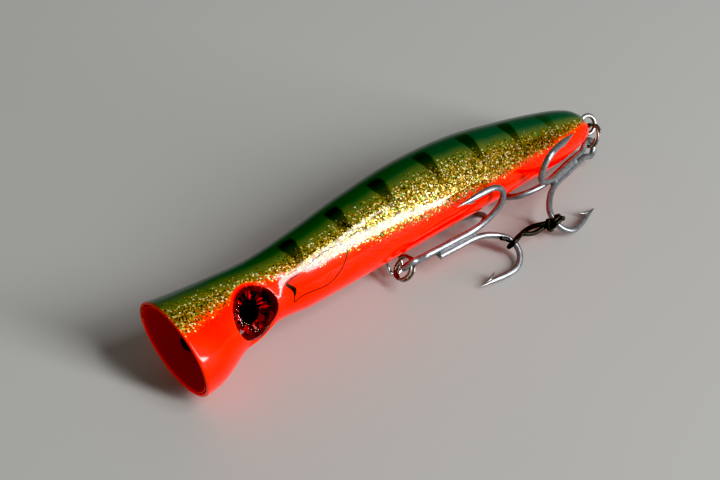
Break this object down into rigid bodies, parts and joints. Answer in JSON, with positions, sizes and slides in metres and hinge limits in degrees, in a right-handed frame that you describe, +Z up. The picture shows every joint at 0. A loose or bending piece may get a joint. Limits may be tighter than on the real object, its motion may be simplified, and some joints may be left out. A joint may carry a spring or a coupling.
{
  "type": "topwater popper",
  "caption": "Topwater popper fishing lure with a cupped mouth, recessed tow eye, glossy eyes, treble hooks on split rings and an elastic hook tie.",
  "frame": {"origin": "centre of the object's box at the table it lies on", "axes": "+X from the cup towards the tail, +Z up from the table, -Y the side with the visible flank and the hooks"},
  "size_m": [0.1642, 0.0446, 0.0319],
  "materials": {
    "painted_body": "clear-coated paint: dark green back, gold flake flank, fluorescent orange-red belly",
    "cup_paint": "dark red paint under clear coat",
    "bright_steel_wire": "bright drawn stainless wire",
    "eye_foil": "dark red faceted foil",
    "pupil_ink": "gloss black",
    "eye_lens": "clear glossy resin dome",
    "lead_slug": "dull cast metal",
    "ball_steel": "polished",
    "clear_plastic": "clear",
    "dark_steel": "dark nickel",
    "tinned_steel": "satin tin plating",
    "elastic": "matt black"
  },
  "bodies": {
    "lure": {"body_left": "painted_body", "body_right": "painted_body", "cup_liner": "cup_paint", "through_wire": "bright_steel_wire", "belly_hanger": "bright_steel_wire", "eye_iris_left": "eye_foil", "eye_pupil_left": "pupil_ink", "eye_dome_left": "eye_lens", "eye_iris_right": "eye_foil", "eye_pupil_right": "pupil_ink", "eye_dome_right": "eye_lens", "ballast_belly": "lead_slug", "ballast_tail": "lead_slug", "rattle_plug_front": "clear_plastic", "rattle_plug_rear": "clear_plastic", "rattle_tube": "clear_plastic"},
    "belly_split_ring": {"belly_ring": "dark_steel"},
    "belly_treble": {"belly_hook_double": "tinned_steel", "belly_hook_single": "tinned_steel"},
    "tail_split_ring": {"tail_ring": "dark_steel"},
    "tail_treble": {"tail_hook_double": "tinned_steel", "tail_hook_single": "tinned_steel", "tie_knot": "elastic", "tie_band": "elastic", "tie_loose_end": "elastic"},
    "front_ball": {"rattle_ball_front": "ball_steel"},
    "rear_ball": {"rattle_ball_rear": "ball_steel"}
  },
  "joints": [
    {"name": "belly_ring_swing", "type": "hinge", "parent": "lure", "child": "belly_split_ring", "pos_m": [-0.00718, -0.00212, 0.00551], "axis": [0, 0.829, -0.5592], "range_deg": [0, 30], "deforming": ["tie_band", "tie_loose_end"]},
    {"name": "belly_treble_swing", "type": "hinge", "parent": "belly_split_ring", "child": "belly_treble", "pos_m": [-0.00354, -0.00573, 0.01071], "axis": [0.441, 0.8929, 0.091], "range_deg": [0, 25], "deforming": ["tie_band", "tie_loose_end"]},
    {"name": "tail_ring_swing", "type": "hinge", "parent": "lure", "child": "tail_split_ring", "pos_m": [0.07938, 0.00414, 0.01165], "axis": [0, -0.829, 0.5592], "range_deg": [0, 36], "deforming": ["tie_band", "tie_loose_end"]},
    {"name": "tail_treble_swing", "type": "hinge", "parent": "tail_split_ring", "child": "tail_treble", "pos_m": [0.07595, 0.00113, 0.00667], "axis": [0.2735, -0.9602, -0.056], "range_deg": [0, 25], "deforming": ["tie_band", "tie_loose_end"]},
    {"name": "front_ball_slide", "type": "slide", "parent": "lure", "child": "front_ball", "axis": [1, 0, -0.0052], "range_m": [-0.0083, 0.0018]},
    {"name": "rear_ball_slide", "type": "slide", "parent": "lure", "child": "rear_ball", "axis": [1, 0, -0.0052], "range_m": [-0.0018, 0.0083]}
  ]
}
